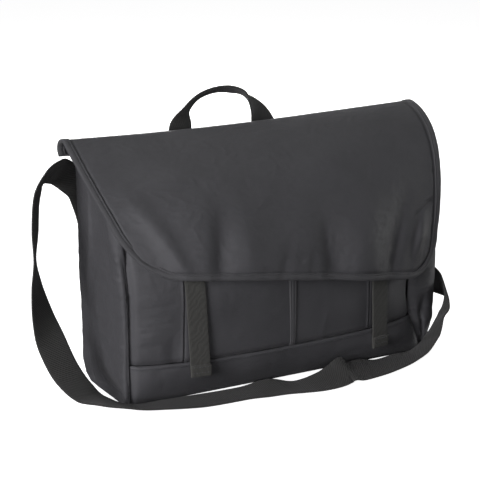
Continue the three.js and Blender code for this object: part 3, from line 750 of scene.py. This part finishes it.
def gusset(side, name, node):
    """One gusset, with side -1 for the left and 1 for the right."""
    along = gusset_columns()
    top = gusset_top(along)
    if side < 0:
        top = top + GUSSET_RISE * bell(along + 0.8, 0.35)
    z = spread(150, [0], 0.03, 9)[:, None] * top
    face = gusset_point(side, along, z)
    depth = (1 + along) / 2 * GUSSET_DEPTH
    out = 1.2 * uneven(depth / 45, z / 70, 21 + side) * smoothstep(z, 4, 40)
    out = out + 0.35 * crumple(depth, z, 15, 24 + side) + 0.18 * crumple(depth, z, 7, 28 + side)
    if side < 0:
        out = out + left_gusset_lift(depth, z)
    else:
        out = out + right_gusset_lift(depth, z, face[..., 0])
    face = face + side * normals(face) * out[..., None]
    face[..., 2] = np.maximum(face[..., 2], 0)
    piece = shell(name, face, -side * WALL, CLOTH, "cloth")
    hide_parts(node)


gusset(-1, "gusset_left_cloth", "gusset_left")
gusset(1, "gusset_right_cloth", "gusset_right")

# Base and band
floor_row = {name: float(read(SECTIONS, name, 0)) for name in SECTIONS if name != "key"}
deep = floor_row["backY"] - floor_row["frontY"]
inset = WALL + SEAM_GAP
across = spread(140, [0, 1], 0.02, 10)
rows = []
for v in np.linspace(0, 1, 15):
    y = mix(floor_row["backY"] - inset, floor_row["frontY"] + BASE_INSET, v)
    share = (y - floor_row["frontY"]) / deep
    along = min(abs(2 * share - 1) * (1 + BASE_TUCK * inset / deep), 1)
    out = (1 - along ** GUSSET_POWER) ** (1 / GUSSET_POWER)
    ends = []
    for hand in ("left", "right"):
        end = mix(floor_row[hand + "X"], floor_row["backX"], share) - 2 * SEAM_GAP
        ends.append(end + (floor_row[hand + "Swell"] - inset) * out)
    rows.append(stack(mix(-ends[0], ends[1], across), y, 0.0))
z = spread(40, [0, 1], 0.08, 12)[:, None] * (BAND_TOP - SEAM_GAP)
band = front_point(across[None, :], z)
x = band[..., 0]
below = BAND_TOP - z
right = np.maximum(2 * across[None, :] - 1, 0)
band[..., 1] -= read(SECTIONS, "swell", z) * (right ** 3 - right ** 6) * smoothstep(below, 0, 22)
band[..., 1] += edge_tuck(band, 4.0, 4.0) + 1.4 * bell(below, 1.2) - 0.7 * bell(below - 3.2, 1.8)
band[..., 1] += (0.9 * uneven(x / 42, z / 34, 41) + 0.4 * crumple(x, z, 19, 43)) * smoothstep(z, 5, 18)
band[..., 1] -= 1.6 * bell(x + 186, 14) * bell(z - 30, 20)
base = shell("base_cloth", np.concatenate([np.array(rows), band]), -WALL, CLOTH, "cloth")
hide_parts("base")

# Flap. Each fold has the share across where it starts and where it meets the hem, how far down it starts,
# its width to the left and to the right and its height in millimetres
FLAP_FOLDS = (
    (0.055, 0.150, 0.25, 15, 15, 4.4),
    (0.335, 0.262, 0.42, 14, 18, -6.0),
    (0.380, 0.362, 0.48, 13, 16, 2.0),
    (0.500, 0.450, 0.74, 7, 9, -1.5),
    (0.570, 0.545, 0.74, 6, 9, -1.4),
    (0.598, 0.612, 0.48, 13, 24, -6.0),
    (0.770, 0.700, 0.48, 26, 26, 6.0),
    (0.885, 0.815, 0.50, 16, 10, -6.5),
)


def edge_distance(x, y):
    """Distance of places on the flat flap from its sides, its hem and its round corners."""
    side, hem = np.minimum(x, FLAP_WIDTH - x), FLAP_LENGTH - y
    radius = np.where(x < FLAP_WIDTH / 2, FLAP_CORNER, FLAP_RIGHT_CORNER)
    inner = radius - np.hypot(radius - side, radius - hem)
    return np.where((side < radius) & (hem < radius), inner, np.minimum(side, hem))


def flap_lift(share, place):
    """How far the flap's cloth stands out of its smooth face, by shares across and down it."""
    x, y = share * FLAP_WIDTH, place * FLAP_LENGTH
    lift = 0.8 * uneven(share * 9, place * 5, 51) * smoothstep(place, 0.1, 0.4)
    for first, last, start, left, right, height in FLAP_FOLDS:
        down = np.clip((place - start) / (1 - start), 0, 1)
        gap = (share - mix(first, last, down)) * FLAP_WIDTH
        fold = bell(gap, np.where(gap < 0, left, right)) * smoothstep(down, 0, 0.75)
        lift = lift + height * fold * (1 - 0.45 * smoothstep(place, 0.93, 1))
    # A short ridge and a crease near the right edge
    streak = (share - mix(0.938, 0.912, (place - 0.7) / 0.2)) * FLAP_WIDTH
    lift = lift + 5 * bell(streak, np.where(streak < 0, 5, 12)) * bell(place - 0.8, 0.1)
    along = np.clip((share - 0.905) / 0.06, 0, 1)
    crease = (place - mix(0.70, 0.63, along)) * FLAP_LENGTH
    lift = lift - 1.6 * bell(crease, 3) * smoothstep(share, 0.89, 0.92) * smoothstep(0.985 - share, 0, 0.02)
    groove = 1.2 * bell(edge_distance(x, y) - BINDING - 1.2, 1.8)
    return lift - groove + 0.22 * crumple(x, y, 13, 55) + 0.14 * crumple(x, y, 6, 57)


corner = FLAP_CORNER / FLAP_WIDTH
arc = corner * (1 - np.cos(np.linspace(0, math.pi / 2, 31)))
columns = np.concatenate([arc[:-1], np.linspace(corner, 1 - corner, 200), 1 - arc[-2::-1]])
flap_face, place = flap_grid(columns, 18, 120, 40)
share = np.broadcast_to(columns[None, :], place.shape)
lift = flap_lift(share, np.maximum(place, 0)) * smoothstep(place, -0.3, 0.1)
flap_face = flap_face - normals(flap_face) * lift[..., None]
flap = shell("flap_cloth", flap_face, FLAP_WALL, CLOTH, "cloth")
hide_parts("flap")
tiles = np.cross(np.diff(flap_face, axis=0)[:, :-1], np.diff(flap_face, axis=1)[:-1])


# Rows of stitches, which are made last as one piece
THREADS = []


def add_thread(line, face):
    """One row of stitches along a line. The face is one direction, or one to each point."""
    THREADS.append((line, np.broadcast_to(face, line.shape)))


# Binding round the flap, with a row of stitches on each face
def even_line(values, line, count):
    """Values along a line at even distances, each the mean of a few neighbours."""
    run = np.concatenate([[0], np.cumsum(np.linalg.norm(np.diff(line, axis=0), axis=-1))])
    places = np.linspace(0, run[-1], count)
    values = np.stack([np.interp(places, run, values[:, k]) for k in range(3)], -1)
    padded = np.concatenate([values[:1], values[:1], values, values[-1:], values[-1:]])
    mean = sum(padded[k:k + count] for k in range(5)) / 5
    mean[[0, -1]] = values[[0, -1]]
    return mean


def turned_edge(wide, high, angles):
    """The tape's turn round the flap's edge, at angles in degrees."""
    return [(0.3 + wide * math.cos(a), high * math.sin(a)) for a in np.radians(angles)]


middle = flap_face + normals(flap_face) * FLAP_WALL / 2
last_row, last_col = flap_face.shape[0] - 1, flap_face.shape[1] - 1
route = ([(r, 0) for r in range(last_row)] + [(last_row, c) for c in range(last_col + 1)]
         + [(r, last_col) for r in range(last_row - 1, -1, -1)])
r, c = np.array(route).T
origins = even_line(middle[r, c], middle[r, c], 760)
ahead = unit(np.gradient(origins, axis=0))
ups = unit(even_line(flap_face[r, c] - middle[r, c], middle[r, c], 760))
outs = unit(np.cross(ahead, ups))
near, far = FLAP_WALL / 2 + 0.25, FLAP_WALL / 2 + 1.1
furrow = far - 0.45
upper = [(-BINDING, near + 0.1), (-BINDING + 0.3, far), (-5.2, far + 0.1), (-4.5, furrow),
         (-3.9, furrow), (-3.2, far + 0.15), (-1.5, far + 0.35)]
nose = turned_edge(far, far + 0.2, range(75, -76, -15))
hollow = turned_edge(near, near, range(-75, 76, 25))
lower = [(a, -b) for a, b in upper[::-1]]
tape = [*upper, *nose, *lower, (-BINDING, -near), (-3, -near), *hollow, (-3, near), (-BINDING, near)]
binding = sweep("flap_binding_tape", origins, outs, ups, tape, TAPE, "binding")
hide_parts("flap_binding")
for face in (ups, -ups):
    add_thread(origins - outs * 4.2 + face * (far - 0.35), face)

# Welt down the middle of the pocket
v = np.linspace(0, 1, 81)[:, None]
u = np.linspace(-1, 1, 25)[None, :]
half = mix(WELT_BOTTOM_WIDTH, WELT_TOP_WIDTH, v) / 2
z = mix(BAND_TOP + SEAM_GAP, POCKET_TOP, v)
swell = 0.9 * (1 - np.abs(u) ** 5) - 0.5 * bell(np.abs(u) - 0.45, 0.1)
welt_face = pocket_face(u * half, z, SEAM_GAP / 2 + WELT_THICK + swell)
welt_face[..., 1] += pocket_push(0.0, z)
welt = shell("pocket_welt_tape", welt_face, -WELT_THICK, TAPE, "binding")
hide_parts("pocket_welt")


# Webbing tails, each with its end folded up in front of itself
def tail(hand):
    """The left or the right tail, with two rows of stitches across its folded end."""
    x, bottom, swing, drift = TAILS[hand]
    clearance = SEAM_GAP + TAIL_THICK / 2 + TAIL_CLEAR
    hem = bottom + TAIL_HEM
    z = np.concatenate([np.linspace(TAIL_TOP, hem, 60), np.linspace(hem, bottom + 2, 12)[1:]])
    below = np.clip((POCKET_TOP - z) / (POCKET_TOP - bottom), 0, 1)
    path = pocket_face(x + drift * below, np.maximum(z, BAND_TOP + TAIL_LIE), clearance + swing * below ** 2)
    path[:, 2] = z
    side, level = TAIL_WIDTH / 2, BAND_TOP + TAIL_LIE
    out = unit(pocket_face(x + side, level, 0.0) - pocket_face(x - side, level, 0.0))
    forward = unit(np.cross(out, (0, 0, 1.0)))
    path -= forward * smoothstep(hem + 6 - z, 0, 8)[:, None]
    end = path[-1]
    turn = [end + forward * TAIL_BEND * (1 - math.cos(a)) + np.array((0, 0, -TAIL_BEND * math.sin(a)))
            for a in np.linspace(0, math.pi, 9)[1:]]
    rise = [turn[-1] + np.array((0, 0, h)) for h in np.linspace(0, TAIL_HEM - 2, 8)[1:]]
    path = np.concatenate([path, turn, rise])
    ahead = unit(np.gradient(path, axis=0))
    outs = np.repeat(out[None], len(path), 0)
    piece = sweep("tail_" + hand + "_webbing", path, outs, unit(np.cross(ahead, outs)),
                  webbing_section(TAIL_WIDTH, TAIL_THICK, 8), TAIL_WEB, "webbing")
    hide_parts("front_tail_" + hand)
    for height in (4, TAIL_HEM - 4):
        row = turn[-1] + np.array((0, 0, height)) + forward * (TAIL_THICK / 2 + 0.1)
        add_thread(np.stack([row + out * s for s in np.linspace(-side + 2, side - 2, 12)]), forward)


for hand in TAILS:
    tail(hand)

# Grab handle
handle_frames = webbing_frames(HANDLE, 160)
handle_section = webbing_section(HANDLE_WIDTH, HANDLE_THICK)
handle = sweep("handle_webbing", *handle_frames, handle_section, STRAP_WEB, "webbing")
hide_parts("grab_handle")


# Stitches on the webbing's ends, the pocket and the flap's seam
def box_of_stitches(frames, ends, half, thick):
    """A square of stitches with a cross in it, on a webbing's rear face between two places along it."""
    origins, outs, ups = frames
    rear = 1 if ups[ends[0]][1] > 0 else -1
    lift = rear * (thick / 2 + 0.1)
    spot = lambda place, side: origins[place] + outs[place] * side + ups[place] * lift
    steps = np.linspace(0, 1, 9)
    places = np.round(mix(*ends, steps)).astype(int)
    for first, last in ((-half, -half), (half, half), (-half, half), (half, -half)):
        line = [spot(place, side) for place, side in zip(places, mix(first, last, steps))]
        add_thread(np.array(line), ups[places] * rear)
    for place in ends:
        line = [spot(place, side) for side in mix(-half, half, steps)]
        add_thread(np.array(line), ups[place] * rear)


for ends in ((2, 12), (148, 158)):
    box_of_stitches(handle_frames, ends, 12, HANDLE_THICK)
for ends in ((3, 11), (389, 397)):
    box_of_stitches(strap_frames, ends, 15, STRAP_THICK)

FORWARD = (0, -1.0, 0)


def pocket_stitches(x, z):
    """A row of stitches on the pocket's cloth."""
    line = pocket_face(x, z, THREAD_LIFT)
    line[:, 1] += pocket_push(x, z)
    add_thread(line, FORWARD)


x = np.linspace(-195, 183, 160)
add_thread(pocket_face(x, np.full(160, BAND_TOP - 4.2), THREAD_LIFT + 0.6), FORWARD)
pocket_stitches(x, np.full(160, POCKET_TOP - 4.5))
z = np.linspace(BAND_TOP + 2, POCKET_TOP - 3, 70)
for seam in side_seams(z):
    pocket_stitches(seam - 1.6, z)
for row in (1, 3):
    face = -normals(flap_face)[row, 4:-4]
    add_thread(flap_face[row, 4:-4] + face * THREAD_LIFT, face)
stitches("thread", THREADS, THREAD)

# Floor, which sweeps up far away into a plain backdrop, and the lights
FLOOR_SIDES = 64
FLOOR_DROP = 0.0006
turns = np.linspace(0, 2 * math.pi, FLOOR_SIDES + 1)[:-1]
profile = [(0.01, 0), (2, 0), (6, 0), (7.2, 0.25), (7.9, 0.9), (8.2, 2), (8.2, 6)]
points = []
for radius, height in profile:
    points += [(radius * math.cos(a), radius * math.sin(a), height - FLOOR_DROP) for a in turns]
rings = np.arange(len(points)).reshape(-1, FLOOR_SIDES)
beside = np.roll(rings, -1, 1)
faces = np.stack([rings[:-1], beside[:-1], beside[1:], rings[1:]], -1).reshape(-1, 4).tolist()
faces.append(rings[0].tolist())
mesh = bpy.data.meshes.new("floor")
mesh.from_pydata(points, [], faces)
mesh.polygons.foreach_set("use_smooth", [True] * len(mesh.polygons))
floor = bpy.data.objects.new("floor", mesh)
scene.collection.objects.link(floor)
floor.visible_diffuse = False
floor.visible_glossy = False
paint = Nodes("pale_floor")
paint.shader.inputs["Base Color"].default_value = (0.92, 0.92, 0.92, 1)
paint.shader.inputs["Roughness"].default_value = 0.9
paint.shader.inputs["Specular IOR Level"].default_value = 0.1
paint.shader.inputs["Emission Color"].default_value = (1, 1, 1, 1)
paint.shader.inputs["Emission Strength"].default_value = 0.92
mesh.materials.append(paint.material)

world = bpy.data.worlds.new("studio")
world.use_nodes = True
world.node_tree.nodes["Background"].inputs[0].default_value = (1, 1, 1, 1)
world.node_tree.nodes["Background"].inputs[1].default_value = 0.02
scene.world = world

LAMP_SIZE = 1.3
LAMP_DISTANCE = 2.2
LAMP_AIM = np.array((0, 0, 0.15))
FAINT_VIOLET = (1, 0.985, 1.03)


def lamp(name, azimuth, elevation, watts, tint=(1, 1, 1)):
    """A soft round light that faces the bag. Azimuth 0 is the front and positive to the right."""
    a, e = math.radians(azimuth), math.radians(elevation)
    way = np.array((math.sin(a) * math.cos(e), -math.cos(a) * math.cos(e), math.sin(e)))
    data = bpy.data.lights.new(name, "AREA")
    data.shape = "DISK"
    data.size = LAMP_SIZE
    data.energy = watts
    data.color = tint
    light = bpy.data.objects.new(name, data)
    light.location = way * LAMP_DISTANCE + LAMP_AIM
    light.rotation_euler = (math.radians(90 - elevation), 0, a)
    scene.collection.objects.link(light)


lamp("key", -65, 16, 45, FAINT_VIOLET)
lamp("front", -20, 5, 10, FAINT_VIOLET)
lamp("fill", 88, 5, 20)
lamp("top", 180, 76, 10)
lamp("rear", 170, 12, 24)
scene.view_settings.view_transform = "Standard"
